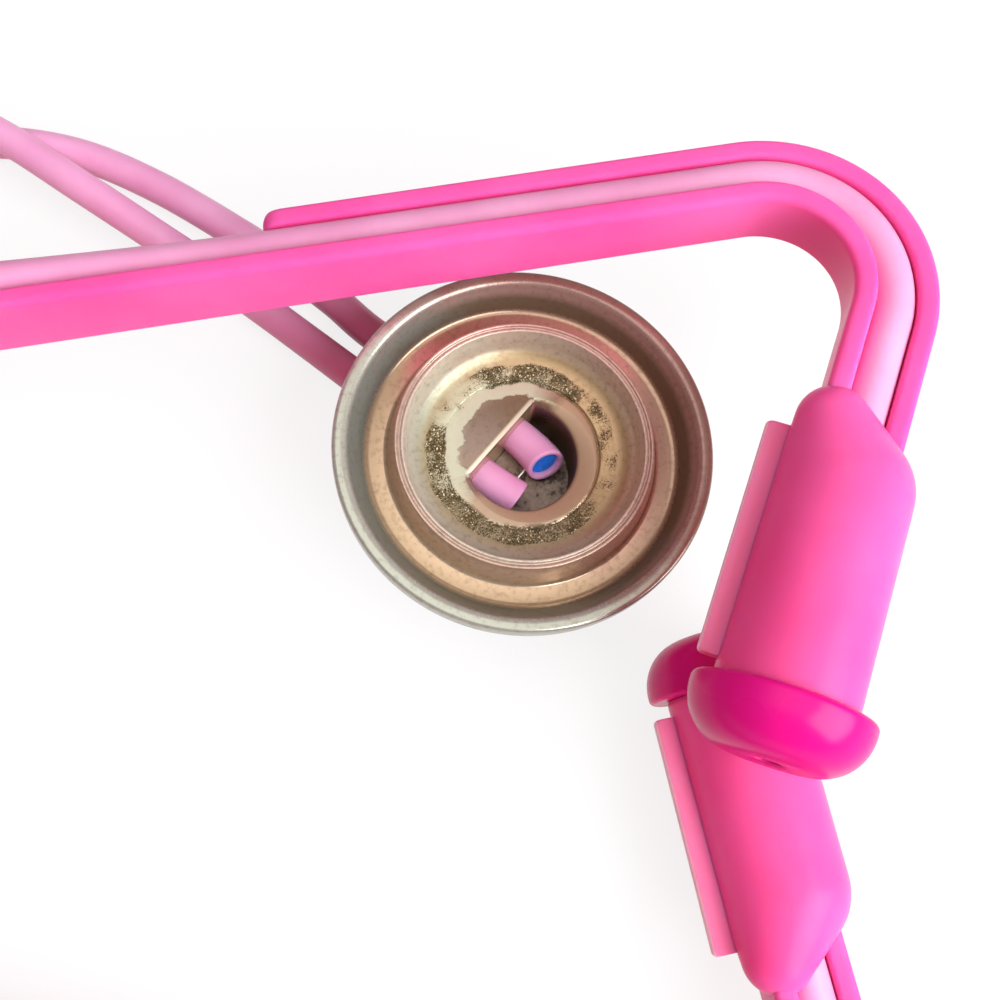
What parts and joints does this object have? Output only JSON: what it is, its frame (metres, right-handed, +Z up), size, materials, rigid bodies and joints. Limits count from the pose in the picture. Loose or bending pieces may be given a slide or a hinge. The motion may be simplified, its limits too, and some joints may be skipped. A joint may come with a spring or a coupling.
{
  "type": "toy stethoscope",
  "caption": "Toy stethoscope with crossed channelled arms on a pivot pin, mushroom ear tips on sleeves, soft hoses and a stepped metal-look bell.",
  "frame": {"origin": "centre of the underside of the pivot cap, on the pivot axis, where the part rests on the table", "axes": "+X from the pivot along the arms to the ear tips, +Z up along the pivot axis"},
  "size_m": [0.2578, 0.1655, 0.0417],
  "materials": {
    "arm_plastic": "glossy moulded",
    "sleeve_plastic": "glossy moulded",
    "tip_plastic": "glossy moulded",
    "hose_rubber": "satin soft vinyl",
    "bell_plating": "worn metallised plastic",
    "plug_plastic": "moulded",
    "wire_steel": "drawn"
  },
  "bodies": {
    "frame": {"lower_arm": "arm_plastic", "lower_sleeve": "sleeve_plastic", "lower_ear_tip": "tip_plastic", "pivot_pin": "arm_plastic", "pivot_cap": "arm_plastic", "lower_arm_hose": "hose_rubber", "upper_hose_bend": "hose_rubber", "lower_free_hose": "hose_rubber", "upper_free_hose": "hose_rubber", "bell_front": "bell_plating", "bell_back": "bell_plating", "lower_hose_end": "hose_rubber", "upper_hose_end": "hose_rubber", "lower_hose_plug": "plug_plastic", "upper_hose_plug": "plug_plastic", "retaining_wire": "wire_steel"},
    "swing_arm": {"upper_arm": "arm_plastic", "upper_sleeve": "sleeve_plastic", "upper_ear_tip": "tip_plastic", "upper_arm_hose": "hose_rubber"}
  },
  "joints": [
    {"name": "arm_swing", "type": "hinge", "parent": "frame", "child": "swing_arm", "pos_m": [0, 0, 0.0108], "axis": [0, 0, 1], "range_deg": [-6, 50], "deforming": ["upper_hose_bend"]}
  ]
}
